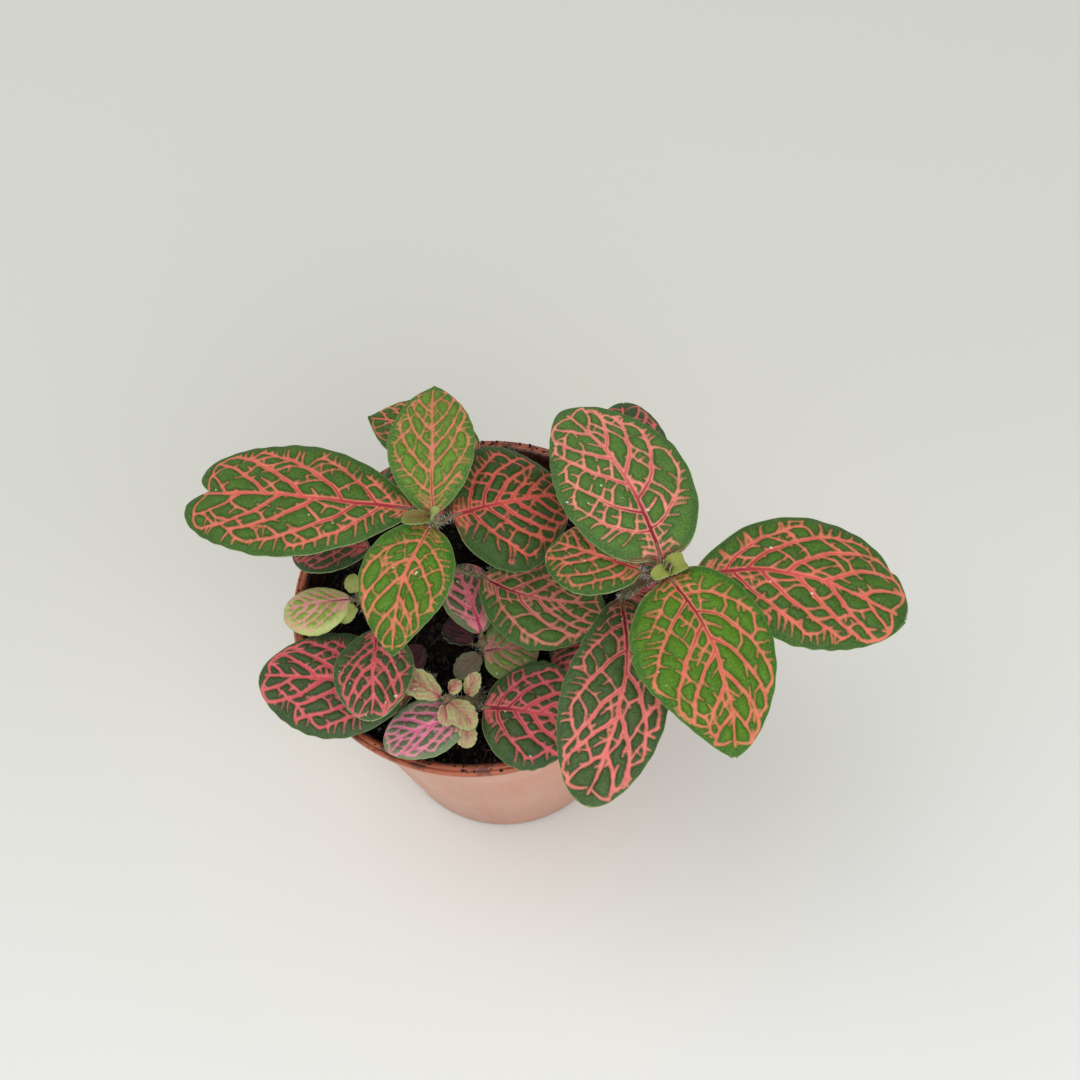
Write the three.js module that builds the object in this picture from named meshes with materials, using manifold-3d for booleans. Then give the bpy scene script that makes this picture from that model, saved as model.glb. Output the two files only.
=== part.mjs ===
// Potted nerve plant: leafy stems standing in peat in a small round plastic pot.
// Millimetres, +Z up, origin at the centre of the pot's underside. The viewer of the plant stands at -Y.
import * as THREE from "three";
import { mergeVertices } from "three/addons/utils/BufferGeometryUtils.js";
import Module from "manifold-3d";

const wasm = await Module();
wasm.setup();

// Pot
const rimRadius = 45;
const potHeight = 80;
const footRadius = 32;
const footEdge = 0.7;
const wall = 1.2;
const floorThickness = 1.4;
const floorFillet = 1;
const collarHeight = 16;
const collarStep = 1;
const collarRise = 1.2;
const lipHeight = 2.4;
const lipWidth = 2;
const lipRound = 0.8;
const potSides = 32;
const drainHoles = 6;
const drainRadius = 3;
const drainCircle = 19;
const footDisc = 10;
const footRing = 4;
const footGroove = 1.2;
const drainSides = 12;

// Peat
const fitGap = 0.35;
const soilLevel = 73;
const soilRings = 5;
const soilSlope = 0.04;
const soilBevel = 1;
const reliefHeight = 0.7;

// Leaves and stems
const bladeThickness = 0.7;
const midribThickening = 0.5;
const petioleRadius = 0.95;
const petioleSag = 0.06;
const tuck = 2.6;
const tuckDepth = 0.25;
const stemHoleGap = 0.6;
const holeDepth = 1;
const veinReach = 0.16;
const marginScallop = 0.02;
const stemSides = 6;
const stemSteps = 10;
const petioleSides = 5;
const petioleSteps = 3;

const lipFoot = potHeight - lipHeight;
const collarFoot = potHeight - collarHeight;
const stepFoot = collarFoot - collarRise;
const floorTop = footGroove + floorThickness;
const wallDraft = (rimRadius - lipWidth - footRadius - collarStep) / lipFoot;

function toSolid(geometry) {
  const bare = geometry.clone();
  bare.deleteAttribute("normal");
  bare.deleteAttribute("uv");
  const merged = mergeVertices(bare, 1e-4);
  const mesh = new wasm.Mesh({
    numProp: 3,
    vertProperties: new Float32Array(merged.attributes.position.array),
    triVerts: new Uint32Array(merged.index.array),
  });
  return new wasm.Manifold(mesh);
}

function toGeometry(solid) {
  const { numProp, vertProperties, triVerts } = solid.getMesh();
  const position = new Float32Array((vertProperties.length / numProp) * 3);
  for (let i = 0; i < position.length / 3; i++) {
    position.set(vertProperties.subarray(i * numProp, i * numProp + 3), i * 3);
  }
  const geometry = new THREE.BufferGeometry();
  geometry.setAttribute("position", new THREE.BufferAttribute(position, 3));
  geometry.setIndex(new THREE.BufferAttribute(new Uint32Array(triVerts), 1));
  return geometry;
}

function lathe(profile, sides) {
  const points = profile.map(([radius, height]) => new THREE.Vector2(radius, height));
  const geometry = new THREE.LatheGeometry(points, sides);
  return geometry.rotateX(Math.PI / 2);
}

function cylinder(radius, bottom, top, x, y, sides) {
  const geometry = new THREE.CylinderGeometry(radius, radius, top - bottom, sides);
  geometry.rotateX(Math.PI / 2);
  return geometry.translate(x, y, (top + bottom) / 2);
}

function tube(points, radius, sides, steps) {
  const path = new THREE.CatmullRomCurve3(points, false, "centripetal");
  const section = new THREE.Shape();
  for (let i = 0; i < sides; i++) {
    const angle = (2 * Math.PI * i) / sides;
    const corner = [radius * Math.cos(angle), radius * Math.sin(angle)];
    if (i === 0) section.moveTo(...corner);
    else section.lineTo(...corner);
  }
  section.closePath();
  const options = { steps, extrudePath: path, curveSegments: 1, bevelEnabled: false };
  return new THREE.ExtrudeGeometry(section, options);
}

function wallRadius(height) {
  return footRadius + wallDraft * height;
}

function innerRadius(height) {
  const outer = height < collarFoot ? wallRadius(height) : wallRadius(height) + collarStep;
  return outer - wall;
}

// Pot: disc and ring to stand on, groove with drain holes between them, tapered wall, collar and rim lip
function potSolid() {
  const collarTop = wallRadius(lipFoot) + collarStep;
  const outside = [
    [0, 0],
    [footDisc, 0],
    [footDisc + footGroove, footGroove],
    [footRadius - footRing - footGroove, footGroove],
    [footRadius - footRing, 0],
    [footRadius - footEdge, 0],
    [footRadius, footEdge],
    [wallRadius(stepFoot), stepFoot],
    [wallRadius(collarFoot) + collarStep, collarFoot],
    [collarTop, lipFoot],
    [rimRadius - lipRound / 3, lipFoot + lipRound / 4],
    [rimRadius, lipFoot + lipRound],
    [rimRadius - lipRound / 4, potHeight - lipRound / 3],
    [rimRadius - lipRound, potHeight],
  ];
  const inside = [
    [collarTop - lipRound / 8, potHeight],
    [innerRadius(potHeight - lipRound), potHeight - lipRound],
    [innerRadius(collarFoot), collarFoot],
    [innerRadius(stepFoot), stepFoot],
    [innerRadius(floorTop + floorFillet), floorTop + floorFillet],
    [innerRadius(floorTop) - floorFillet, floorTop],
    [footDisc + footGroove, floorTop],
    [footDisc, floorThickness],
    [0, floorThickness],
  ];
  let solid = toSolid(lathe([...outside, ...inside], potSides));
  for (let i = 0; i < drainHoles; i++) {
    const angle = (2 * Math.PI * (i + 0.5)) / drainHoles;
    const x = drainCircle * Math.cos(angle);
    const y = drainCircle * Math.sin(angle);
    solid = solid.subtract(toSolid(cylinder(drainRadius, -1, floorTop + 1, x, y, drainSides)));
  }
  return solid;
}

function soilRelief(x, y) {
  const waves = Math.sin(0.31 * x + 0.8) * Math.cos(0.27 * y - 0.4) + 0.5 * Math.sin(0.55 * (x + y));
  return -soilSlope * y + reliefHeight * waves;
}

// Peat: fills the pot with a small gap to its wall; its top is uneven and a little higher at the front
function soilSolid(stemHoles) {
  const edge = innerRadius(collarFoot) - fitGap;
  const profile = [
    [0, floorThickness + fitGap],
    [footDisc - fitGap, floorThickness + fitGap],
    [footDisc + footGroove - fitGap, floorTop + fitGap],
    [innerRadius(floorTop) - floorFillet - fitGap, floorTop + fitGap],
    [innerRadius(floorTop + floorFillet) - fitGap, floorTop + floorFillet + fitGap],
    [innerRadius(stepFoot) - fitGap, stepFoot + fitGap / 2],
    [edge, collarFoot + fitGap / 2],
    [innerRadius(soilLevel - soilBevel) - fitGap, soilLevel - soilBevel],
  ];
  for (let ring = soilRings; ring >= 0; ring--) {
    profile.push([(edge * ring) / soilRings, soilLevel]);
  }
  const geometry = lathe(profile, potSides);
  const position = geometry.attributes.position;
  for (let i = 0; i < position.count; i++) {
    if (position.getZ(i) > soilLevel - soilBevel / 2) {
      const relief = soilRelief(position.getX(i), position.getY(i));
      position.setZ(i, position.getZ(i) + relief);
    }
  }
  let solid = toSolid(geometry);
  for (const { path, radius } of stemHoles) {
    const deeper = path[0].clone();
    deeper.z -= holeDepth;
    const hole = tube([deeper, ...path.slice(1, 3)], radius + stemHoleGap, stemSides + 2, 4);
    solid = solid.subtract(toSolid(hole));
  }
  return solid;
}

// Leaf blade. Values in millimetres: base and tip are the ends of the midrib, arch lifts its middle,
// sweep bends it sideways, roll (degrees) turns the blade about it, cup lifts or drops the margins,
// skew widens the right side. belly is where the blade is widest, heel and toe how pointed its ends are.
const plainLeaf = {
  arch: 2, sweep: 0, roll: 0, cup: 0, skew: 0, belly: 0.5, heel: 0.7, toe: 0.55, end: 0.35, notch: 0,
  ripple: 0.55, rows: 12, columns: 4,
};
const smallLeaf = { ...plainLeaf, rows: 6, columns: 2, ripple: 0, end: 0.25, arch: 0.8 };

function bladeFrame(leaf) {
  const base = new THREE.Vector3(...leaf.base);
  const chord = new THREE.Vector3(...leaf.tip).sub(base);
  const length = chord.length();
  const along = chord.clone().normalize();
  const side = new THREE.Vector3().crossVectors(along, new THREE.Vector3(0, 0, 1)).normalize();
  side.applyAxisAngle(along, THREE.MathUtils.degToRad(leaf.roll));
  const up = new THREE.Vector3().crossVectors(side, along);
  return { base, along, side, up, length };
}

function halfWidth(leaf, t) {
  const x = Math.min(Math.max(t, 0), 1) ** (Math.log(0.5) / Math.log(leaf.belly));
  const blend = THREE.MathUtils.smoothstep(x, 0.3, 0.7);
  const power = leaf.heel * (1 - blend) + leaf.toe * blend;
  const ends = 0.8 * (1 - t) + leaf.end * t;
  return ends + (leaf.width / 2 - ends) * Math.max(Math.sin(Math.PI * x), 0) ** power;
}

// Rows of the blade follow its side veins: they leave the midrib at s and lean towards the tip
function station(s, u) {
  return s + veinReach * Math.sin(Math.PI * s) * (1 - 0.25 * s) * Math.abs(u) ** 1.3;
}

// A point of the blade: s runs from base to tip, u from the left margin (-1) to the right one (+1)
function bladePoint(leaf, frame, s, u, lift) {
  const { base, along, side, up, length } = frame;
  const row = Math.round(s * leaf.rows);
  const scallop = 1 + marginScallop * (row % 2 === 0 ? 1 : -1) * Math.abs(u) ** 4;
  const across = u * halfWidth(leaf, station(s, 1)) * (1 + leaf.skew * Math.sign(u)) * scallop;
  const t = station(s, u) - (leaf.notch / length) * s ** 8 * (1 - Math.abs(u));
  const bow = 4 * t * (1 - t);
  const slope = 4 * (1 - 2 * t);
  const tangent = along.clone().multiplyScalar(length);
  tangent.addScaledVector(up, slope * leaf.arch).addScaledVector(side, slope * leaf.sweep).normalize();
  const right = new THREE.Vector3().crossVectors(tangent, up).normalize();
  const normal = new THREE.Vector3().crossVectors(right, tangent);
  const crest = row % 2 === 1 ? leaf.ripple * Math.sin(Math.PI * Math.abs(u) ** 0.8) : 0;
  const cup = leaf.cup * (across / (leaf.width / 2)) ** 2;
  const point = base.clone().addScaledVector(along, t * length);
  point.addScaledVector(up, bow * leaf.arch).addScaledVector(side, bow * leaf.sweep);
  return point.addScaledVector(right, across).addScaledVector(normal, cup + crest + lift);
}

// The upper and lower faces are the same grid, so they are split into triangles alike
function bladeSolid(leaf, frame) {
  const grid = new THREE.PlaneGeometry(2, 1, leaf.columns, leaf.rows);
  const { position: flat } = grid.attributes;
  const index = [...grid.index.array];
  const points = [];
  for (const face of [1, -1]) {
    for (let i = 0; i < flat.count; i++) {
      const u = flat.getX(i);
      const s = flat.getY(i) + 0.5;
      const rib = face < 0 ? midribThickening * (1 - s) * Math.max(1 - 3 * Math.abs(u), 0) : 0;
      points.push(bladePoint(leaf, frame, s, u, face * (bladeThickness / 2 + rib)));
    }
  }
  const triangles = [...index];
  for (let i = 0; i < index.length; i += 3) {
    triangles.push(index[i] + flat.count, index[i + 2] + flat.count, index[i + 1] + flat.count);
  }
  for (const [from, to] of borderEdges(leaf.columns, leaf.rows)) {
    triangles.push(from, from + flat.count, to);
    triangles.push(to, from + flat.count, to + flat.count);
  }
  const geometry = new THREE.BufferGeometry().setFromPoints(points);
  geometry.setIndex(triangles);
  return toSolid(geometry);
}

function borderEdges(columns, rows) {
  const wide = columns + 1;
  const ring = [];
  for (let i = 0; i < columns; i++) ring.push(i);
  for (let i = 0; i < rows; i++) ring.push(i * wide + columns);
  for (let i = columns; i > 0; i--) ring.push(rows * wide + i);
  for (let i = rows; i > 0; i--) ring.push(i * wide);
  return ring.map((from, i) => [ring[(i + 1) % ring.length], from]);
}

function leafSolid(leaf) {
  const frame = bladeFrame(leaf);
  const root = new THREE.Vector3(...leaf.node);
  const inner = bladePoint(leaf, frame, tuck / frame.length, 0, -tuckDepth);
  const heel = bladePoint(leaf, frame, 0, 0, -tuckDepth);
  const middle = root.clone().lerp(heel, 0.55);
  middle.z -= root.distanceTo(heel) * petioleSag;
  const radius = Math.min(petioleRadius, leaf.width * 0.06 + 0.2);
  const petiole = tube([root, middle, heel, inner], radius, petioleSides, petioleSteps);
  return bladeSolid(leaf, frame).add(toSolid(petiole));
}

// Leafy stems. path is the stem from its root in the peat to its crown, node where a petiole joins it.
const shoots = {
  stem_left_tall: {
    radius: 1.4,
    path: [[-9, 4, 60], [-9, 4, 74], [-10, 6, 88], [-8.5, 3, 104], [-6, -1, 118.5]],
    leaves: [
      { name: "left", node: [-6.8, 0.3, 113], base: [-10, 3, 116], tip: [-60, 19, 110], width: 29,
        arch: 3, sweep: -1, cup: -1.5, belly: 0.55, heel: 0.68, toe: 0.45, end: 4.4, notch: 2.5 },
      { name: "back", node: [-6.2, -0.8, 117], base: [-6, 0.5, 118], tip: [-3, 31, 122], width: 19,
        arch: 3, belly: 0.48, heel: 0.65, toe: 0.75 },
      { name: "front", node: [-6.2, -0.8, 117], base: [-6, -3, 118], tip: [-17, -28, 110], width: 20,
        arch: 3, sweep: 1.5, belly: 0.42, heel: 0.6, toe: 0.9 },
      { name: "right", node: [-6.8, 0.3, 113], base: [-2, 1, 115], tip: [23, 8, 106], width: 30, arch: 3,
        roll: -15, cup: -4, belly: 0.46, heel: 0.45, toe: 0.5 },
      { name: "backLow", node: [-8.4, 2.8, 104], base: [-8, 9, 99], tip: [-9, 36, 91], width: 24, arch: 3,
        cup: -2 },
      { name: "leftLow", node: [-9.9, 5.8, 90], base: [-24, 9, 92], tip: [-43, 14, 87], width: 15 },
      { name: "rightLow", node: [-9.9, 5.8, 90], base: [2, -2, 92], tip: [29, -10, 88], width: 24, arch: 1,
        sweep: 3, cup: -2 },
    ],
    buds: [
      { name: "budLeft", node: [-6, -1, 118], base: [-6.2, -1.8, 119.5], tip: [-12, -2.5, 121], width: 3.6 },
      { name: "budRight", node: [-6, -1, 118], base: [-5.8, -1.6, 119], tip: [-4, -2, 122.5], width: 2.4 },
    ],
  },
  stem_right_tall: {
    radius: 1.4,
    path: [[30, -14, 60], [30, -14, 74], [31, -15, 90], [34, -16, 103], [41, -20, 118.5]],
    leaves: [
      { name: "back", node: [40.4, -19.7, 117], base: [40, -18, 119], tip: [24, 24, 116], width: 28,
        arch: 3, sweep: 3, skew: -0.08, belly: 0.42, heel: 0.5, toe: 0.62 },
      { name: "right", node: [38.6, -18.6, 113], base: [47, -21, 116], tip: [87, -35, 112], width: 30,
        arch: 4, sweep: -3, cup: -2, belly: 0.53, heel: 0.68, toe: 0.5 },
      { name: "left", node: [38.6, -18.6, 113], base: [36, -18.7, 116.4], tip: [19, -7.3, 113], width: 19,
        sweep: -1, heel: 0.6, toe: 0.5 },
      { name: "front", node: [40.4, -19.7, 117], base: [41, -22, 119], tip: [48, -59, 112], width: 28,
        arch: 3, sweep: -3, skew: 0.15, belly: 0.42, heel: 0.5, toe: 0.6 },
      { name: "frontLow", node: [33, -15.7, 100], base: [32, -18, 104], tip: [18, -62, 104], width: 22,
        arch: 3, sweep: -4, skew: 0.12, belly: 0.55, heel: 0.5, toe: 0.5 },
      { name: "backLow", node: [33, -15.7, 100], base: [37, -2, 103], tip: [40, 36, 100], width: 20 },
      { name: "leftLow", node: [31, -15, 87], base: [27, -16, 84], tip: [17, -24, 79], width: 15 },
      { name: "rightLow", node: [31, -15, 87], base: [34, -11, 90], tip: [47, -6, 84], width: 16 },
    ],
    buds: [
      { name: "budRight", node: [41, -20, 118], base: [41, -20, 119.5], tip: [44, -17.5, 122], width: 3.6 },
      { name: "budLeft", node: [41, -20, 118], base: [40.6, -20.4, 119.5], tip: [37.6, -22, 121], width: 3 },
    ],
  },
  stem_front: {
    radius: 1.1,
    path: [[-2, -24, 60], [-2, -24, 76], [-3, -27, 80], [-6, -28.5, 84], [-9, -29, 87.5]],
    leaves: [
      { name: "right", node: [-3, -27, 79.5], base: [-1, -31, 85], tip: [21, -38, 85], width: 26, heel: 0.5,
        cup: -1.5 },
      { name: "left", node: [-3, -27, 79.5], base: [-4, -32, 83], tip: [-24, -36, 82], width: 14 },
    ],
    buds: [
      { name: "lowFront", node: [-6, -28.5, 84], base: [-6, -33.5, 84.5], tip: [-5, -39, 82], width: 5 },
      { name: "lowBack", node: [-6, -28.5, 84], base: [-4, -28.5, 86.5], tip: [-1, -25, 90], width: 4 },
      { name: "crownLeft", node: [-9, -29, 87], base: [-10, -28.5, 88], tip: [-18, -23, 90], width: 6 },
      { name: "crownRight", node: [-9, -29, 87], base: [-8, -30, 88], tip: [-3, -37, 88], width: 6 },
      { name: "crownFront", node: [-9, -29, 87], base: [-9, -30.5, 87.5], tip: [-9, -35, 86], width: 4 },
      { name: "crownBack", node: [-9, -29, 87], base: [-8, -28, 88], tip: [-5, -26, 89.5], width: 3.5 },
    ],
  },
  stem_middle: {
    radius: 1.1,
    path: [[1, -13, 60], [1, -13, 72], [0.5, -13.5, 78], [0, -14, 83]],
    leaves: [
      { name: "right", node: [0.2, -13.8, 80.5], base: [0, -16, 82], tip: [13, -17, 83], width: 17, arch: 1,
        heel: 0.4 },
      { name: "back", node: [0.1, -13.9, 82], base: [0, -12, 83.5], tip: [-4, 6, 85], width: 13 },
    ],
    buds: [
      { name: "frontLow", node: [0.5, -13.5, 78], base: [-1, -16, 80.5], tip: [-7, -21, 80], width: 6 },
      { name: "backLow", node: [0.5, -13.5, 78], base: [-3, -12, 79], tip: [-8, -5, 79], width: 8 },
    ],
  },
  stem_left: {
    radius: 1.1,
    path: [[-26, -2, 60], [-26, -2, 74], [-26.5, -2, 82], [-27, -2, 89]],
    leaves: [
      { name: "left", node: [-27, -2, 88], base: [-29, -2, 89], tip: [-45, -1.5, 87.5], width: 12, sweep: -1,
        cup: -1.5, skew: -0.2, end: 1.5 },
      { name: "frontLow", node: [-26.6, -2, 83], base: [-23, -10, 88], tip: [-25, -34, 92], width: 18 },
    ],
    buds: [
      { name: "crownBack", node: [-27, -2, 88.5], base: [-28, -1, 90], tip: [-28, 2.5, 92.5], width: 4 },
      { name: "crownFront", node: [-27, -2, 88.5], base: [-28, -4, 89], tip: [-32, -7, 87.5], width: 4 },
      { name: "crownRight", node: [-27, -2, 88.5], base: [-25.5, -2, 89.5], tip: [-17, -1, 90], width: 6 },
    ],
  },
  stem_front_left: {
    radius: 1.1,
    path: [[-13, -18, 60], [-13, -18, 75], [-14, -21, 81]],
    leaves: [
      { name: "left", node: [-13.8, -20.5, 79.5], base: [-17, -25, 83], tip: [-51, -17, 86], width: 26,
        cup: -2 },
    ],
    buds: [
      { name: "back", node: [-13.8, -20.5, 79.5], base: [-15, -18.5, 82], tip: [-17, -12, 82], width: 6 },
    ],
  },
  stem_back: {
    radius: 1.1,
    path: [[6, 22, 60], [6, 22, 76], [6, 24, 99]],
    leaves: [
      { name: "left", node: [6, 23.9, 98], base: [4, 26.5, 100], tip: [-22, 43, 98], width: 18, heel: 0.6,
        toe: 1 },
    ],
    buds: [
      { name: "right", node: [6, 23.9, 98], base: [8, 22.5, 98.5], tip: [18, 16, 97], width: 11 },
    ],
  },
};

function stemPath(shoot) {
  return shoot.path.map((point) => new THREE.Vector3(...point));
}

function shootSolid(shoot) {
  let solid = toSolid(tube(stemPath(shoot), shoot.radius, stemSides, stemSteps));
  for (const leaf of shoot.leaves) {
    solid = solid.add(leafSolid({ ...plainLeaf, ...leaf }));
  }
  for (const leaf of shoot.buds) {
    solid = solid.add(leafSolid({ ...smallLeaf, ...leaf }));
  }
  return solid;
}

const plastic = new THREE.MeshStandardMaterial({ color: 0xc08b74, roughness: 0.45, metalness: 0 });
const peat = new THREE.MeshStandardMaterial({ color: 0x1f1713, roughness: 0.95, metalness: 0 });
const foliage = new THREE.MeshStandardMaterial({ color: 0x4a7a2c, roughness: 0.5, metalness: 0 });

const plant = new THREE.Group();

function addPiece(name, solid, material) {
  const mesh = new THREE.Mesh(toGeometry(solid), material);
  mesh.name = name;
  plant.add(mesh);
}

addPiece("pot", potSolid(), plastic);
const stemHoles = Object.values(shoots).map((shoot) => ({ path: stemPath(shoot), radius: shoot.radius }));
addPiece("soil", soilSolid(stemHoles), peat);
for (const [name, shoot] of Object.entries(shoots)) {
  addPiece(name, shootSolid(shoot), foliage);
}

export default plant;
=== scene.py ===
import math
import random
import bpy
import bmesh
import numpy as np
from mathutils import Matrix, Vector, noise


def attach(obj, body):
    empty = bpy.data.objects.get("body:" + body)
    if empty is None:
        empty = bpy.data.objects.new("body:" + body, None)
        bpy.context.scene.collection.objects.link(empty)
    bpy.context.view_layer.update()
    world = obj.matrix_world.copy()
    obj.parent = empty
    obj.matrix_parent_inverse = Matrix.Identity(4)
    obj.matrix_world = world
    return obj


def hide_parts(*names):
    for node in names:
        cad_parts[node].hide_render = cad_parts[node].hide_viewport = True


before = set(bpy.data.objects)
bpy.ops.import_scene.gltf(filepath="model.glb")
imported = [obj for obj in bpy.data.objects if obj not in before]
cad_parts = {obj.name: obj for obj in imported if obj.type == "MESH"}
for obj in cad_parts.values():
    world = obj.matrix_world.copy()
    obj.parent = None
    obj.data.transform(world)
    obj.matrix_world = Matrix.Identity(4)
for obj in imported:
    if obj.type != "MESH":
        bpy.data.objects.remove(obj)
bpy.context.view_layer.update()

mm = 0.001
print("frame loaded with", len(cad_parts), "nodes")


# a socket that can be used in sums
class Wire:
    def __init__(self, shader, socket):
        self.shader = shader
        self.socket = socket

    def maths(self, operation, *values):
        return self.shader.node("Math", {"operation": operation}, dict(enumerate(values)))

    def __add__(self, other):
        return self.maths("ADD", self, other)

    def __radd__(self, other):
        return self.maths("ADD", other, self)

    def __sub__(self, other):
        return self.maths("SUBTRACT", self, other)

    def __rsub__(self, other):
        return self.maths("SUBTRACT", other, self)

    def __mul__(self, other):
        return self.maths("MULTIPLY", self, other)

    def __rmul__(self, other):
        return self.maths("MULTIPLY", other, self)

    # 0 below low, 1 above high, eased between
    def ramp(self, low, high):
        sockets = {"Value": self, "From Min": low, "From Max": high}
        return self.shader.node("MapRange", {"interpolation_type": "SMOOTHSTEP"}, sockets)


def solid(colour):
    return colour if isinstance(colour, Wire) else (*colour, 1.0)


# a colour as a screen shows it, 0 to 255, as the light that it stands for
def paint(*levels):
    return tuple((v / 255 / 12.92) if v < 11 else ((v / 255 + 0.055) / 1.055) ** 2.4 for v in levels)


class Shader:
    def __init__(self, name):
        self.material = bpy.data.materials.new(name)
        self.material.use_nodes = True
        self.tree = self.material.node_tree
        self.tree.nodes.clear()

    # settings are set first, then the values or links of the sockets
    def node(self, kind, settings=None, sockets=None, out=0):
        made = self.tree.nodes.new("ShaderNode" + kind)
        for key, value in (settings or {}).items():
            setattr(made, key, value)
        for key, value in (sockets or {}).items():
            if isinstance(value, Wire):
                self.tree.links.new(value.socket, made.inputs[key])
            else:
                made.inputs[key].default_value = value
        return Wire(self, made.outputs[out]) if made.outputs else None

    def mix(self, factor, first, second):
        return self.node("Mix", {"data_type": "RGBA"}, {0: factor, 6: solid(first), 7: solid(second)}, 2)

    def value(self, name):
        return self.node("Attribute", {"attribute_name": name}, None, 2)

    # noise over the object, its size in metres
    def grain(self, size, detail, rough=0.5, stretch=(1, 1, 1)):
        place = self.node("TexCoord", None, None, 3)
        place = self.node("Mapping", None, {"Vector": place, "Scale": stretch})
        sockets = {"Vector": place, "Scale": 1 / size, "Detail": detail, "Roughness": rough}
        return self.node("TexNoise", None, sockets)

    def bump(self, height, distance, strength):
        return self.node("Bump", None, {"Height": height, "Distance": distance, "Strength": strength})

    def finish(self, sockets):
        surface = self.node("BsdfPrincipled", None, sockets)
        self.node("OutputMaterial", None, {"Surface": surface})
        return self.material


# turns a finished bmesh into a mesh
def meshOf(name, bm, smooth=True):
    mesh = bpy.data.meshes.new(name)
    bm.to_mesh(mesh)
    bm.free()
    if smooth:
        mesh.shade_smooth()
    return mesh


# the camera stands where the photo was taken from, in metres, degrees and millimetres
view = {"place": (0.0161, -0.1357, 0.3332), "elevation": 59.6, "roll": -7.0, "lens": 40, "sensor": 36}


def addCamera():
    data = bpy.data.cameras.new("camera")
    data.lens = view["lens"]
    data.sensor_width = view["sensor"]
    data.clip_start = 0.01
    data.clip_end = 20
    tilt = math.radians(view["elevation"])
    turn = math.radians(view["roll"])
    back = Vector((0, -math.cos(tilt), math.sin(tilt)))
    right = Vector((1, 0, 0))
    up = back.cross(right)
    rolledRight = right * math.cos(turn) + up * math.sin(turn)
    rolledUp = up * math.cos(turn) - right * math.sin(turn)
    turned = Matrix((rolledRight, rolledUp, back)).transposed()
    camera = bpy.data.objects.new("camera", data)
    camera.matrix_world = Matrix.Translation(view["place"]) @ turned.to_4x4()
    bpy.context.collection.objects.link(camera)
    bpy.context.scene.camera = camera


studio = {
    "floorSize": 4.0,
    "floorColour": paint(224, 223, 214),
    # painted light: the floor's colour turns lighter towards the front over a span of y, in metres
    "paintedLightNearColour": paint(242, 242, 238),
    "paintedLightSpan": (0.12, -0.14),
    "sky": (0.95, 0.98, 1.0),
    "skyStrength": 0.5,
    "lamps": [
        {"name": "key", "place": (-0.9, 0.2, 2.0), "size": 2.0, "power": 15.0, "colour": (1.0, 0.98, 0.94)},
        {"name": "fill", "place": (0.5, -1.3, 1.2), "size": 1.8, "power": 15.0, "colour": (0.96, 0.98, 1.0)},
    ],
}


def addStudio():
    sheet = bmesh.new()
    bmesh.ops.create_grid(sheet, x_segments=1, y_segments=1, size=studio["floorSize"] / 2)
    bmesh.ops.translate(sheet, vec=(0, 0, -0.0001), verts=sheet.verts[:])
    floorMesh = meshOf("floor", sheet, False)
    shader = Shader("floor paint")
    place = shader.node("TexCoord", None, None, 3)
    ahead = shader.node("SeparateXYZ", None, {"Vector": place}, 1)
    # painted light: the floor is lighter towards the front, where more light falls on it
    shade = shader.mix(ahead.ramp(*studio["paintedLightSpan"]), studio["floorColour"], studio["paintedLightNearColour"])
    floorMesh.materials.append(shader.finish({"Base Color": shade, "Roughness": 0.7}))
    floor = bpy.data.objects.new("floor", floorMesh)
    bpy.context.collection.objects.link(floor)
    for lamp in studio["lamps"]:
        data = bpy.data.lights.new(lamp["name"], "AREA")
        data.shape = "DISK"
        data.size = lamp["size"]
        data.energy = lamp["power"]
        data.color = lamp["colour"]
        light = bpy.data.objects.new(lamp["name"], data)
        light.location = lamp["place"]
        light.rotation_euler = (Vector((0, 0, 0.06)) - light.location).to_track_quat("-Z", "Y").to_euler()
        bpy.context.collection.objects.link(light)
    world = bpy.data.worlds.new("sky")
    world.use_nodes = True
    world.node_tree.nodes["Background"].inputs["Color"].default_value = solid(studio["sky"])
    world.node_tree.nodes["Background"].inputs["Strength"].default_value = studio["skyStrength"]
    bpy.context.scene.world = world
    bpy.context.scene.view_settings.view_transform = "Standard"


addCamera()
addStudio()
print("camera, floor and lights are up")


# makes a mesh a piece of the plant that stands for a node
def addPiece(name, mesh, materials, node):
    for material in materials:
        mesh.materials.append(material)
    piece = bpy.data.objects.new(name, mesh)
    bpy.context.collection.objects.link(piece)
    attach(piece, "root")
    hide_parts(node)
    return piece


# pot, millimetres
pot = {
    "rimRadius": 45, "height": 80, "footRadius": 32, "footEdge": 0.7,
    "wall": 1.2, "floor": 1.4, "floorFillet": 1,
    "collarHeight": 16, "collarStep": 1, "collarRise": 1.2,
    "lipHeight": 2.4, "lipWidth": 2,
    "drainHoles": 6, "drainRadius": 3, "drainCircle": 19,
    "footDisc": 10, "footRing": 4, "footGroove": 1.2,
    "steps": 160,
}
pot["lipFoot"] = pot["height"] - pot["lipHeight"]
pot["collarFoot"] = pot["height"] - pot["collarHeight"]
pot["stepFoot"] = pot["collarFoot"] - pot["collarRise"]
pot["floorTop"] = pot["footGroove"] + pot["floor"]
pot["draft"] = (pot["rimRadius"] - pot["lipWidth"] - pot["footRadius"] - pot["collarStep"]) / pot["lipFoot"]


def wallRadius(height):
    return pot["footRadius"] + pot["draft"] * height


def innerRadius(height):
    outer = wallRadius(height) + (pot["collarStep"] if height >= pot["collarFoot"] else 0)
    return outer - pot["wall"]


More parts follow.
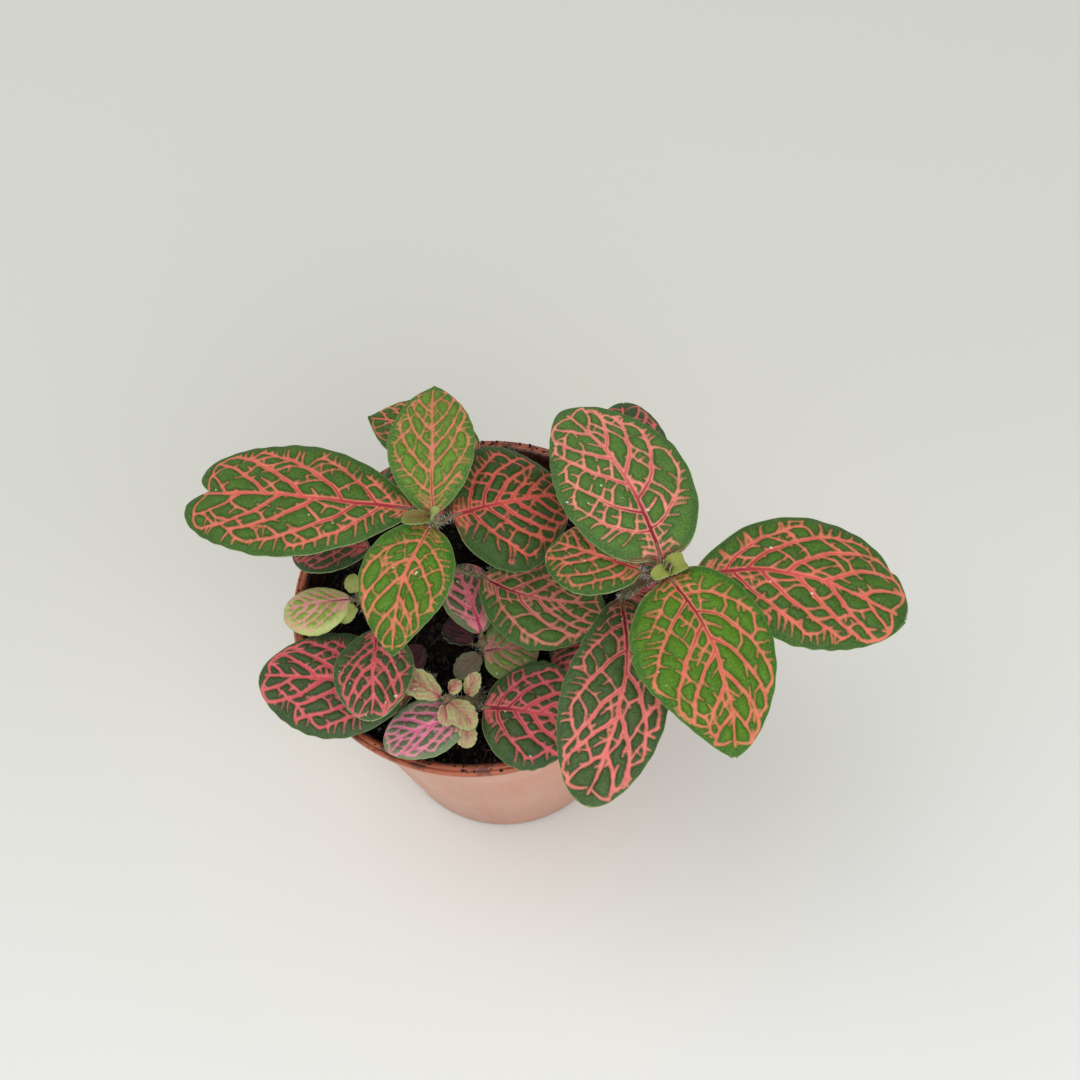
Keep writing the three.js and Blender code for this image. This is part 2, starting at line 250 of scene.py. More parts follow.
def spinProfile(profile, steps, rounding=0.0):
    bm = bmesh.new()
    corners = [bm.verts.new((radius * mm, 0, height * mm)) for radius, height in profile]
    edges = [bm.edges.new(pair) for pair in zip(corners, corners[1:])]
    if rounding:
        bmesh.ops.bevel(bm, geom=corners[1:-1], offset=rounding * mm, segments=2, profile=0.5,
                        affect="VERTICES", material=-1)
    bmesh.ops.spin(bm, geom=bm.verts[:] + bm.edges[:], axis=(0, 0, 1), cent=(0, 0, 0),
                   steps=steps, angle=2 * math.pi, use_merge=True)
    bmesh.ops.remove_doubles(bm, verts=bm.verts[:], dist=0.004 * mm)
    bmesh.ops.recalc_face_normals(bm, faces=bm.faces[:])
    return bm


def potPlastic():
    shader = Shader("terracotta plastic")
    place = shader.node("TexCoord", None, None, 3)
    height = shader.node("SeparateXYZ", None, {"Vector": place}, 2)

    # 0 to 1 between two heights that are measured from a level, millimetres
    def between(level, low, high):
        return height.ramp((level + low) * mm, (level + high) * mm)

    wallShade = shader.mix(shader.grain(0.02, 2.0).ramp(0.3, 0.7), paint(208, 144, 116), paint(215, 155, 128))
    rim = between(pot["lipFoot"], 0.3, 1.7)
    rings = shader.grain(0.0016, 3.0, 0.7, (0.05, 0.05, 5.0)).ramp(0.35, 0.65)
    rimShade = shader.mix(rings, paint(158, 78, 48), paint(194, 108, 72))
    flat = shader.node("VectorMath", {"operation": "MULTIPLY"}, {0: place, 1: (1, 1, 0)})
    radius = shader.node("VectorMath", {"operation": "LENGTH"}, {0: flat}, 1)
    # the bore lies inside the outer wall's radius, which steps out at the collar
    step = between(pot["stepFoot"], 0.4, 1.2) * 0.0007
    outer = height * pot["draft"] + pot["footRadius"] * mm + step
    bore = (outer - radius).ramp(0, 0.0003)
    shade = shader.mix(rim, wallShade, rimShade)
    # inside the bore the wall is painted dark brown: peat dirt and painted shade
    boreDirtAndPaintedShade = shader.mix(shader.grain(0.004, 4.0, 0.6).ramp(0.4, 0.6), paint(84, 42, 30), paint(30, 19, 15))
    shade = shader.mix(bore, shade, boreDirtAndPaintedShade)
    smear = shader.grain(0.003, 4.0, 0.65).ramp(0.5, 0.62) * between(pot["height"], -1.2, -0.1)
    shade = shader.mix(smear * 0.7, shade, paint(52, 30, 22))
    # painted highlight: a pale line along the collar's lower edge, where its rounded edge catches the light
    collarHighlight = between(pot["collarFoot"], -0.6, -0.2) * between(pot["collarFoot"], 0.7, 0.1)
    shade = shader.mix(collarHighlight * 0.6, shade, paint(232, 188, 166))
    specks = shader.grain(0.0009, 0.0).ramp(0.8, 0.83)
    shade = shader.mix(specks * 0.7, shade, paint(110, 72, 54))
    scuffs = shader.grain(0.008, 4.0, 0.6, (1, 1, 0.25)).ramp(0.35, 0.75)
    bump = shader.bump(shader.grain(0.0006, 2.0) + shader.grain(0.006, 1.0) * 0.6, 0.00004, 0.7)
    return shader.finish({"Base Color": shade, "Roughness": 0.34 + scuffs * 0.16, "Normal": bump})


def addPot():
    p = pot
    collarTop = wallRadius(p["lipFoot"]) + p["collarStep"]
    top = p["height"]
    outside = [
        (0, 0), (p["footDisc"], 0), (p["footDisc"] + p["footGroove"], p["footGroove"]),
        (p["footRadius"] - p["footRing"] - p["footGroove"], p["footGroove"]),
        (p["footRadius"] - p["footRing"], 0), (p["footRadius"] - p["footEdge"], 0),
        (p["footRadius"], p["footEdge"]), (wallRadius(p["stepFoot"]), p["stepFoot"]),
        (wallRadius(p["collarFoot"]) + p["collarStep"], p["collarFoot"]), (collarTop, p["lipFoot"]),
        (p["rimRadius"] - 0.25, p["lipFoot"] + 0.2), (p["rimRadius"], p["lipFoot"] + 0.8),
        (p["rimRadius"], top - 0.7), (p["rimRadius"] - 0.35, top - 0.1),
    ]
    ridges = [
        (p["rimRadius"] - 0.7, top), (p["rimRadius"] - 0.95, top - 0.16), (p["rimRadius"] - 1.2, top - 0.14),
        (p["rimRadius"] - 1.4, top), (p["rimRadius"] - 1.9, top - 0.02), (p["rimRadius"] - 2.1, top - 0.2),
        (p["rimRadius"] - 2.5, top - 0.22), (p["rimRadius"] - 2.8, top - 0.5),
    ]
    inside = [
        (innerRadius(top - 1.2), top - 1.2), (innerRadius(p["collarFoot"]), p["collarFoot"]),
        (innerRadius(p["stepFoot"]), p["stepFoot"]),
        (innerRadius(p["floorTop"] + p["floorFillet"]), p["floorTop"] + p["floorFillet"]),
        (innerRadius(p["floorTop"]) - p["floorFillet"], p["floorTop"]),
        (p["footDisc"] + p["footGroove"], p["floorTop"]), (p["footDisc"], p["floor"]), (0, p["floor"]),
    ]
    bm = spinProfile(outside + ridges + inside, p["steps"], 0.12)
    piece = addPiece("pot_shell", meshOf("pot_shell", bm), [potPlastic()], "pot")
    drill = bmesh.new()
    for i in range(p["drainHoles"]):
        angle = 2 * math.pi * (i + 0.5) / p["drainHoles"]
        centre = (p["drainCircle"] * math.cos(angle) * mm, p["drainCircle"] * math.sin(angle) * mm, mm)
        bmesh.ops.create_cone(drill, cap_ends=True, segments=28, radius1=p["drainRadius"] * mm,
                              radius2=p["drainRadius"] * mm, depth=8 * mm, matrix=Matrix.Translation(centre))
    cutter = bpy.data.objects.new("drill", meshOf("drill", drill, False))
    bpy.context.collection.objects.link(cutter)
    cut = piece.modifiers.new("drain holes", "BOOLEAN")
    cut.object = cutter
    cut.solver = "EXACT"
    bpy.context.view_layer.update()
    drilled = bpy.data.meshes.new_from_object(piece.evaluated_get(bpy.context.evaluated_depsgraph_get()))
    piece.modifiers.clear()
    piece.data = drilled
    bpy.data.objects.remove(cutter)


addPot()
print("pot made")


# peat, millimetres
peat = {
    "gap": 0.3, "level": 73, "slope": 0.04, "relief": 0.7,
    "rings": 96, "steps": 240,
    "lumps": 0.8, "lumpSize": 4.5, "grit": 0.45, "gritSize": 1.3, "crust": 0.35,
    "crumbs": 2600, "crumbSize": (0.28, 0.95),
    "fibres": 190, "fibreLength": (3, 9), "fibreRadius": (0.06, 0.16), "fibreSteps": 6,
    "specks": 16,
    "rimBand": (-3.2, -0.5),
    # first and last angle of each stretch of the rim, and its number of crumbs
    "rimCrumbs": ((-118, -84, 30), (58, 102, 110), (120, 175, 60), (185, 235, 30), (-60, 40, 40)),
    "rimFibres": (62, 76, 79, 84, 88, 176, -96, -108),
    "seed": 11,
}


def peatHeight(x, y):
    waves = math.sin(0.31 * x + 0.8) * math.cos(0.27 * y - 0.4) + 0.5 * math.sin(0.55 * (x + y))
    return peat["level"] - peat["slope"] * y + peat["relief"] * waves


def peatSurface(x, y):
    lumps = noise.noise(Vector((x / peat["lumpSize"], y / peat["lumpSize"], 2.0))) * peat["lumps"]
    grit = noise.noise(Vector((x / peat["gritSize"], y / peat["gritSize"], 7.0))) * peat["grit"]
    return peatHeight(x, y) + lumps + grit + peat["crust"]


def peatMaterial():
    shader = Shader("dark peat")
    lumps = shader.grain(0.003, 4.0, 0.6)
    # the peat's own near-black brown, made darker still as painted shade
    shade = shader.mix(lumps.ramp(0.35, 0.7), paint(7, 5, 4), paint(27, 19, 15))
    chips = shader.grain(0.0011, 1.0).ramp(0.68, 0.74)
    shade = shader.mix(chips * 0.6, shade, paint(84, 66, 50))
    bump = shader.bump(shader.grain(0.0009, 4.0, 0.7), 0.0006, 0.9)
    return shader.finish({"Base Color": shade, "Roughness": 0.95, "Normal": bump, "Specular IOR Level": 0.15})


def plainMaterial(name, dark, light, size, rough, depth):
    shader = Shader(name)
    blotches = shader.grain(size, 3.0).ramp(0.3, 0.7)
    bump = shader.bump(shader.grain(size / 5, 2.0), depth, 0.8)
    shade = shader.mix(blotches, dark, light)
    return shader.finish({"Base Color": shade, "Roughness": rough, "Normal": bump})


# a tapered tube along a path: a circle that is drawn out from point to point
def sweep(bm, path, radii, sides):
    frames = []
    across = Vector((1, 0, 0)).cross(path[1] - path[0])
    if across.length < 1e-7:
        across = Vector((0, 1, 0))
    for i, point in enumerate(path):
        ahead = (path[min(i + 1, len(path) - 1)] - path[max(i - 1, 0)]).normalized()
        across = (across - ahead * across.dot(ahead)).normalized()
        turned = Matrix((across, ahead.cross(across), ahead)).transposed().to_4x4()
        frames.append(Matrix.Translation(point) @ turned @ Matrix.Scale(radii[i], 4))
    ring = bmesh.ops.create_circle(bm, cap_ends=True, segments=sides, radius=1.0, matrix=frames[0])["verts"]
    edges = list(dict.fromkeys(edge for vert in ring for edge in vert.link_edges))
    for before, after in zip(frames, frames[1:]):
        made = bmesh.ops.extrude_edge_only(bm, edges=edges)["geom"]
        ring = [item for item in made if isinstance(item, bmesh.types.BMVert)]
        fresh = set(ring)
        edges = [item for item in made if isinstance(item, bmesh.types.BMEdge) and set(item.verts) <= fresh]
        bmesh.ops.transform(bm, matrix=after @ before.inverted(), verts=ring)
    bmesh.ops.edgeloop_fill(bm, edges=edges)


def smoothPath(points, steps):
    points = [Vector(p) for p in points]
    ends = [points[0] * 2 - points[1]] + points + [points[-1] * 2 - points[-2]]
    path = []
    for i in range(len(points) - 1):
        a, b, c, d = ends[i:i + 4]
        for k in range(steps):
            q = k / steps
            path.append(0.5 * (2 * b + (c - a) * q + (2 * a - 5 * b + 4 * c - d) * q ** 2
                               + (3 * b - a - 3 * c + d) * q ** 3))
    return path + [points[-1]]


def addCrumb(bm, x, y, z, rng, pale, scale=1.0):
    low, high = peat["crumbSize"]
    radius = (low + (high - low) * rng.random() ** 2.6) * scale
    place = Matrix.Translation((x * mm, y * mm, (z + radius * 0.35) * mm))
    spin = Matrix.Rotation(rng.uniform(0, 6.3), 4, (rng.random(), rng.random(), 0.3 + rng.random()))
    shape = Matrix.Diagonal((rng.uniform(0.7, 1.3), rng.uniform(0.6, 1.1), rng.uniform(0.5, 0.9), 1))
    made = bmesh.ops.create_icosphere(bm, subdivisions=1, radius=radius * mm, matrix=place @ spin @ shape)
    for vert in made["verts"]:
        vert.co += Vector([rng.uniform(-1, 1) for axis in range(3)]) * radius * 0.16 * mm
    for face in {face for vert in made["verts"] for face in vert.link_faces}:
        face.material_index = int(pale)


def addPeat():
    p = peat
    edge = innerRadius(p["level"]) - p["gap"]
    low = pot["floorTop"] + p["gap"]
    profile = [
        (0, pot["floor"] + p["gap"]), (pot["footDisc"] - p["gap"], pot["floor"] + p["gap"]),
        (pot["footDisc"] + pot["footGroove"] - p["gap"], low),
        (innerRadius(pot["floorTop"]) - pot["floorFillet"] - p["gap"], low),
        (innerRadius(low + 1) - p["gap"], low + pot["floorFillet"]),
        (innerRadius(pot["stepFoot"]) - p["gap"], pot["stepFoot"] + p["gap"] / 2),
        (innerRadius(pot["collarFoot"]) - p["gap"], pot["collarFoot"] + p["gap"] / 2),
        (innerRadius(p["level"] - 3) - p["gap"], p["level"] - 3),
    ]
    for ring in range(p["rings"], -1, -1):
        profile.append((edge * ring / p["rings"], p["level"] + 2))
    bm = spinProfile(profile, p["steps"])
    for vert in bm.verts:
        if vert.co.z > (p["level"] + 1) * mm:
            vert.co.z = peatSurface(vert.co.x / mm, vert.co.y / mm) * mm
    rng = random.Random(p["seed"])
    addPiece("peat_body", meshOf("peat_body", bm), [peatMaterial()], "soil")

    loose = bmesh.new()
    for i in range(p["crumbs"] + p["specks"]):
        far = edge * math.sqrt(rng.random()) * 0.995
        angle = rng.uniform(0, 2 * math.pi)
        x, y = far * math.cos(angle), far * math.sin(angle)
        addCrumb(loose, x, y, peatSurface(x, y), rng, i >= p["crumbs"])
    for first, last, count in p["rimCrumbs"]:
        for i in range(count):
            far = pot["rimRadius"] + rng.uniform(*p["rimBand"])
            angle = math.radians(rng.uniform(first, last))
            x, y = far * math.cos(angle), far * math.sin(angle)
            addCrumb(loose, x, y, pot["height"] - 0.1, rng, False, 0.5)
    # crumbs: the peat's own dark brown, made darker still as painted shade
    crumbs = plainMaterial("peat crumbs", paint(14, 10, 8), paint(44, 31, 24), 0.0016, 0.9, 0.0003)
    grit = plainMaterial("pale grit", paint(150, 140, 124), paint(198, 190, 176), 0.001, 0.7, 0.0002)
    addPiece("peat_crumbs", meshOf("peat_crumbs", loose, False), [crumbs, grit], "soil")

    fibres = bmesh.new()
    steps = p["fibreSteps"]
    for i in range(p["fibres"]):
        far = (edge - 2) * math.sqrt(rng.random())
        angle = rng.uniform(0, 2 * math.pi)
        x, y = far * math.cos(angle), far * math.sin(angle)
        heading = rng.uniform(0, 2 * math.pi)
        length = rng.uniform(*p["fibreLength"])
        path = []
        for k in range(steps + 1):
            heading += rng.uniform(-0.5, 0.5)
            if math.hypot(x, y) > edge - 0.5:
                heading = math.atan2(-y, -x)
            lift = 0.25 + 0.5 * math.sin(math.pi * k / steps) * rng.random()
            path.append(Vector((x, y, peatSurface(x, y) + lift)) * mm)
            x += length / steps * math.cos(heading)
            y += length / steps * math.sin(heading)
        thick = rng.uniform(*p["fibreRadius"])
        sweep(fibres, path, [thick * mm * (1 - 0.6 * k / steps) for k in range(steps + 1)], 4)
    for angle in p["rimFibres"]:
        turn = math.radians(angle)
        far = pot["rimRadius"] - 2.6
        root = Vector((far * math.cos(turn), far * math.sin(turn), pot["height"] - 1.2))
        lean = Vector((rng.uniform(-0.6, 0.6), rng.uniform(-0.6, 0.6), 1.0)) * rng.uniform(1.0, 1.6)
        path = []
        for k in range(4):
            curl = Vector((0.1 * k * k, 0, 0)) * rng.uniform(-1, 1)
            path.append((root + lean * k * 0.5 + curl) * mm)
        sweep(fibres, path, [0.14 * mm, 0.12 * mm, 0.09 * mm, 0.05 * mm], 4)
    straw = plainMaterial("peat fibres", paint(54, 36, 25), paint(120, 86, 60), 0.004, 0.85, 0.0001)
    addPiece("peat_fibres", meshOf("peat_fibres", fibres), [straw], "soil")


addPeat()
print("peat made")


# colours as the screen shows them: field is the green between the veins and shade the darker green
# beside them, partly the leaf's own and partly painted shade of the quilted relief; band is the plain margin,
# core and root are the middle of the strong veins and of the midrib's base; bold makes the veins wider,
# heart is the share of the blade that is dark at its base, and margin its edge line: fine pale hairs
# with a painted highlight
def look(*colours, bold=1.0, heart=0.05, manyGlints=False, margin=(168, 182, 124)):
    words = ("field", "shade", "band", "vein", "fringe", "core", "root")
    return {**dict(zip(words, colours)), "bold": bold, "heart": heart, "manyGlints": manyGlints, "margin": margin}


looks = {
    "mature": look((72, 110, 26), (32, 62, 14), (60, 97, 32), (240, 126, 106), (224, 136, 92),
        (206, 68, 72), (160, 44, 54), bold=0.98),
    "pale": look((84, 122, 44), (42, 76, 26), (66, 104, 44), (252, 152, 136), (242, 158, 124),
        (210, 70, 86), (134, 30, 50)),
    "deep": look((54, 84, 22), (26, 48, 12), (54, 84, 32), (226, 108, 90), (196, 108, 72), (196, 60, 64),
        (140, 38, 46), bold=0.92),
    "young": look((108, 142, 42), (64, 100, 24), (66, 108, 40), (232, 130, 110), (204, 144, 84),
        (206, 84, 78), (150, 52, 44), bold=0.86),
    "fresh": look((84, 128, 16), (44, 82, 8), (58, 104, 28), (238, 128, 106), (228, 146, 88),
        (202, 66, 70), (124, 40, 36), bold=0.84),
    "old": look((64, 88, 42), (30, 50, 24), (64, 90, 48), (236, 108, 112), (214, 112, 104), (200, 62, 80),
        (130, 36, 50), bold=1.18),
    "dusky": look((72, 98, 46), (34, 56, 26), (68, 98, 50), (250, 136, 126), (236, 142, 120),
        (216, 76, 92), (120, 34, 48), bold=1.1),
    # a leaf with many painted glints towards its tip
    "glinting": look((66, 90, 44), (32, 52, 26), (68, 94, 52), (240, 112, 116), (218, 116, 108),
        (204, 64, 84), (130, 36, 50), bold=1.18, manyGlints=True),
    "pink": look((106, 122, 80), (78, 86, 64), (130, 150, 110), (248, 142, 170), (226, 158, 160),
        (220, 82, 142), (180, 56, 116), bold=1.75),
    "rose": look((98, 112, 66), (62, 70, 46), (122, 138, 96), (255, 144, 158), (244, 156, 154),
        (240, 88, 128), (200, 60, 100), bold=2.1),
    "lime": look((152, 182, 66), (120, 150, 48), (212, 218, 146), (244, 164, 162), (232, 180, 150),
        (206, 108, 118), (130, 56, 56), bold=1.5),
    "mottled": look((122, 150, 72), (96, 122, 56), (116, 144, 78), (206, 132, 126), (160, 140, 96),
        (190, 110, 110), (120, 60, 56), bold=1.25),
    "grey": look((124, 126, 96), (88, 88, 66), (116, 120, 90), (138, 112, 98), (126, 116, 92),
        (120, 86, 78), (84, 56, 50), bold=0.8, margin=(124, 124, 98)),
    "maroon": look((44, 30, 28), (28, 20, 19), (46, 38, 32), (98, 44, 52), (76, 40, 42), (92, 34, 46),
        (66, 26, 34), bold=1.1, margin=(62, 54, 46)),
    "bud": look((176, 172, 120), (142, 140, 88), (182, 188, 126), (180, 98, 96), (192, 154, 120),
        (136, 36, 54), (108, 28, 40), bold=0.92),
    "olive": look((112, 126, 48), (84, 98, 32), (108, 126, 52), (116, 88, 50), (130, 112, 54),
        (90, 56, 36), (84, 50, 32)),
    "bract": look((142, 152, 58), (108, 122, 40), (150, 160, 72), (148, 154, 74), (144, 152, 66),
        (112, 104, 46), (48, 34, 20), bold=0.7, heart=0.38),
    "umber": look((84, 66, 36), (60, 44, 26), (92, 76, 40), (74, 50, 30), (84, 60, 34), (52, 34, 22),
        (44, 30, 20)),
    "sprout": look((158, 170, 76), (140, 154, 60), (158, 174, 82), (172, 180, 104), (168, 176, 96),
        (120, 96, 56), (84, 50, 32)),
}


def upperSide(name, tone):
    shader = Shader(name + " leaf")
    vein, main, edge, run = (shader.value(word) for word in ("vein", "mainVein", "edge", "run"))
    ragged = vein + (shader.grain(0.0006, 3.0, 0.6) - 0.5) * 0.18 + (shader.grain(0.004, 1.0) - 0.5) * 0.34
    patches = shader.grain(0.005, 3.0).ramp(0.35, 0.75)
    # darker green beside the veins: partly the leaf's own colour, partly painted shade of the quilted relief
    green = shader.mix(ragged.ramp(-0.05, 0.75), paint(*tone["shade"]), paint(*tone["field"]))
    green = shader.mix(edge.ramp(2.4, 0.9) * 0.9, green, paint(*tone["band"]))
    green = shader.mix(patches * 0.4, green, paint(*tone["shade"]))
    cells = shader.grain(0.0004, 2.0, 0.7)
    green = shader.mix(cells.ramp(0.42, 0.7) * 0.4, green, paint(*(v + 30 for v in tone["field"])))
    green = shader.mix(cells.ramp(0.5, 0.3) * 0.35, green, paint(*tone["shade"]))
    line = shader.mix(ragged.ramp(-0.24, 0.08), paint(*tone["vein"]), paint(*tone["fringe"]))
    line = shader.mix(shader.grain(0.0025, 2.0).ramp(0.45, 0.7) * 0.3, line, paint(*tone["core"]))
    line = shader.mix(main.ramp(-0.12, -0.38) * 0.6, line, paint(*tone["core"]))
    line = shader.mix(run.ramp(0.55, 0.15) * main.ramp(-0.12, -0.36), line, paint(*tone["root"]))
    shade = shader.mix(ragged.ramp(0.25, -0.25), green, line)
    shade = shader.mix(run.ramp(tone["heart"], 0.0) * 0.7, shade, paint(*tone["root"]))
    # a pale line along the blade's edge: its fine hairs, and a painted highlight where light comes through
    # the edge
    shade = shader.mix(edge.ramp(0.18, 0.02) * 0.55, shade, paint(*tone["margin"]))
    # painted highlights: pale specks that stand for glints off tiny glossy cells, on some leaves many of them
    # towards the tip
    where = run.ramp(0.4, 0.7) if tone["manyGlints"] else shader.grain(0.012, 1.0).ramp(0.55, 0.6)
    paintedGlints = shader.grain(0.0011, 0.0).ramp(0.77 if tone["manyGlints"] else 0.83, 0.85) * where
    shade = shader.mix(paintedGlints * 0.8, shade, paint(230, 230, 210))
    bump = shader.bump(cells + shader.grain(0.0011, 2.0) * 0.8, 0.00009, 0.8)
    rough = 0.46 + shader.grain(0.002, 2.0) * 0.16
    return shader.finish({"Base Color": shade, "Roughness": rough, "Normal": bump, "Specular IOR Level": 0.3})


def underSide(name, tone):
    shader = Shader(name + " underside")
    vein = shader.value("vein")
    pale = tuple(v * 0.62 + 58 for v in tone["field"])
    dull = tuple(v * 0.86 for v in pale)
    green = shader.mix(shader.grain(0.004, 3.0).ramp(0.3, 0.7), paint(*pale), paint(*dull))
    line = tuple(v * 0.5 + 92 for v in tone["vein"])
    shade = shader.mix(vein.ramp(0.12, -0.1) * 0.75, green, paint(*line))
    bump = shader.bump(shader.grain(0.0005, 2.0), 0.00006, 0.7)
    return shader.finish({"Base Color": shade, "Roughness": 0.66, "Normal": bump})


rimMaterial = plainMaterial("leaf rim", paint(120, 142, 84), paint(176, 186, 132), 0.002, 0.6, 0.00003)
leafLooks = {}
for name, tone in looks.items():
    leafLooks[name] = [upperSide(name, tone), underSide(name, tone), rimMaterial]
print("leaf colours mixed")


# how the veins grow, millimetres and degrees from the midrib
growth = {
    "step": 0.5,
    "rootAngle": (88, 48),  # where side veins leave the midrib, at a broad leaf's base and past its middle
    "narrowAngle": 66,  # at the base of a leaf that narrows there
    "endAngle": (34, 6),  # near the margin, for the first side vein and for the later ones
    "starts": (0.13, 0.78),  # of the first and last strong side vein, as shares of the blade's length
    "weakStarts": (0.085, 0.05, 0.02),
    "joinGap": 0.07,  # a side vein ends this near to the next one, as a share of the blade's width
    "reach": 0.82,  # or here, from midrib 0 to margin 1
    "band": 1.2,  # plain margin
    "blend": 0.13,
    "far": 4.0,
    "boldAt": 28,  # blade width that has veins of full width
    "smallest": 0.42,  # share of the full width in the smallest leaf
    "loopReach": (0.5, 12),
    "spurGap": 1.25,
    "spurRoom": 0.75,
    "spurReach": (2.4, 4.6),
    "linkEvery": (3.4, 4.8),
    "twigEvery": 6.5,
}

# widths at a vein's root and at its end
widths = {
    "midrib": (1.35, 0.55), "side": (1.1, 0.58), "weak": (0.5, 0.22), "late": (0.5, 0.26),
    "loop": (0.58, 0.46), "spur": (0.5, 0.24), "closing": (0.34, 0.3), "broken": (0.42, 0.24),
    "blind": (0.4, 0.22), "twig": (0.38, 0.2),
}


def ease(x, low=0.0, high=1.0):
    x = np.clip((x - low) / (high - low), 0, 1)
    return x * x * (3 - 2 * x)


def halfWidth(leaf, t):
    x = np.clip(t, 0, 1) ** (math.log(0.5) / math.log(leaf["belly"]))
    blend = ease(x, 0.3, 0.7)
    power = leaf["heel"] * (1 - blend) + leaf["toe"] * blend
    ends = 0.8 * (1 - t) + leaf["end"] * t
    return ends + (leaf["width"] / 2 - ends) * np.maximum(np.sin(np.pi * x), 0) ** power


def sideWidth(leaf, t, side):
    return float(halfWidth(leaf, min(t, 1))) * (1 + leaf["skew"] * side)


# a side vein leaves the midrib and turns towards the tip, until it comes near the margin or the next one
def sideVein(leaf, length, start, side, rng, reach, beyond=None):
    point = np.array([start * length, 0.0])
    path = [point]
    early = 1 - ease(start, 0.03, 0.45)
    first = growth["rootAngle"][0] if leaf["heel"] < 0.62 else growth["narrowAngle"]
    root = first * early + growth["rootAngle"][1] * (1 - early) + rng.uniform(-5, 5)
    last = growth["endAngle"][0] * early ** 3 + growth["endAngle"][1] * (1 - early ** 3)
    wobble = rng.uniform(0, 6)
    near = leaf["width"] * growth["joinGap"] * rng.uniform(0.75, 1.2)
    for i in range(140):
        v = abs(point[1]) / sideWidth(leaf, point[0] / length, side)
        met = beyond is not None and i > 6 and np.linalg.norm(beyond - point, axis=1).min() < near
        if met or v > reach or point[0] > 0.94 * length:
            break
        angle = root + (last - root) * min(v / 0.88, 1.0) ** 0.9 + 5 * math.sin(i * 0.45 + wobble)
        angle = math.radians(angle)
        point = point + growth["step"] * np.array([math.cos(angle), side * math.sin(angle)])
        path.append(point)
    return np.array(path)


def pointAt(path, f):
    x = min(max(f, 0), 1) * (len(path) - 1)
    i = min(int(x), len(path) - 2)
    return path[i] + (path[i + 1] - path[i]) * (x - i)


def wayAt(path, f):
    way = pointAt(path, f + 0.04) - pointAt(path, f - 0.04)
    return way / max(np.linalg.norm(way), 1e-6)


def bend(start, control, end, count):
    q = np.linspace(0, 1, count)[:, None]
    return start * (1 - q) ** 2 + control * 2 * q * (1 - q) + end * q ** 2


def runOf(path):
    return np.linalg.norm(np.diff(path, axis=0), axis=1).sum()


# the veins of one leaf on its flat plan, x along the midrib and y across it
def growVeins(leaf, length, rng):
    veins = []
    size = min(max(leaf["width"] / growth["boldAt"], growth["smallest"]), 1.05) * looks[leaf["look"]]["bold"]

    def add(path, first, last, main=False):
        path = np.asarray(path, float)
        veins.append({"path": path, "half": np.linspace(first, last, len(path)) * size / 2, "main": main})

    t = np.linspace(0, 0.95, 60)
    midrib = np.stack([t * length, 0.25 * np.sin(t * 9 + rng.uniform(0, 6)) * t], 1)
    add(midrib, *widths["midrib"], True)
    pairs = leaf["pairs"]
    first, last = growth["starts"]
    for side in (-1, 1):
        laterals = []
        for i in range(pairs - 1, -1, -1):
            f = max(i + 0.16 * side + rng.uniform(-0.16, 0.16), 0) / (pairs - 1)
            start = first + (last - first) * f ** 1.1
            beyond = laterals[0] if laterals else None
            reach = growth["reach"] + rng.uniform(-0.05, 0.03)
            path = sideVein(leaf, length, start, side, rng, reach, beyond)
            if len(path) < 4:
                continue
            path[:, 1] += np.interp(path[:, 0], midrib[:, 0], midrib[:, 1]) * np.linspace(1, 0, len(path))
            laterals.insert(0, path)
            bold = 0.55 + 0.45 * math.sin(math.pi * min(0.12 + f * 0.8, 0.95)) ** 0.8
            add(path, widths["side"][0] * bold, widths["side"][1] * bold, True)
        if not laterals:
            continue
        for start in growth["weakStarts"]:
            path = sideVein(leaf, length, start, side, rng, rng.uniform(0.66, 0.8), laterals[0])
            if len(path) > 3:
                laterals.insert(0, path)
                add(path, *widths["weak"])
        loops = loopVeins(length, side, laterals, rng, add)
        marginSpurs(leaf, length, side, laterals, loops, rng, size, add)
        crossLinks(leaf, length, side, laterals, rng, add)
        for path in laterals + [midrib]:
            for k in range(int(runOf(path) / growth["twigEvery"])):
                f = rng.uniform(0.06, 0.92)
                root, way = pointAt(path, f), wayAt(path, f)
                out = np.array([-way[1], way[0]]) * rng.choice((-1, 1))
                if path is midrib:
                    out = np.array([0.3, side])
                end = root + (out + way * rng.uniform(-0.2, 0.7)) * rng.uniform(0.5, 1.1)
                add([root, end], *widths["twig"])
    return veins


def loopVeins(length, side, laterals, rng, add):
    loops = []
    for one, two in zip(laterals, laterals[1:] + [None]):
        if one[0][0] < growth["starts"][0] * length * 0.8:
            continue
        a = one[-1]
        b = np.array([0.93 * length, side * 0.6])
        if two is not None:
            gaps = np.linalg.norm(two - a, axis=1)
            ahead = gaps.argmin() + gaps.min() * rng.uniform(0.5, 1.3) / growth["step"]
            b = two[min(int(ahead), len(two) - 1)]
        gap = np.linalg.norm(b - a)
        low, high = growth["loopReach"]
        if gap < low or gap > high or runOf(one) < 4:
            continue
        outward = np.array([0.4, side * 0.6]) if two is None else np.array([0.0, side])
        control = (a + b) / 2 + outward * gap * rng.uniform(0.05, 0.3) + wayAt(one, 0.98) * gap * 0.2
        loops.append(bend(a, control, b, max(int(gap / growth["step"]), 4)))
        loops[-1][1:-1, 1] += side * rng.uniform(-0.3, 0.3) * np.sin(np.linspace(0, 6, len(loops[-1]) - 2))
        add(loops[-1], *widths["loop"])
    return loops


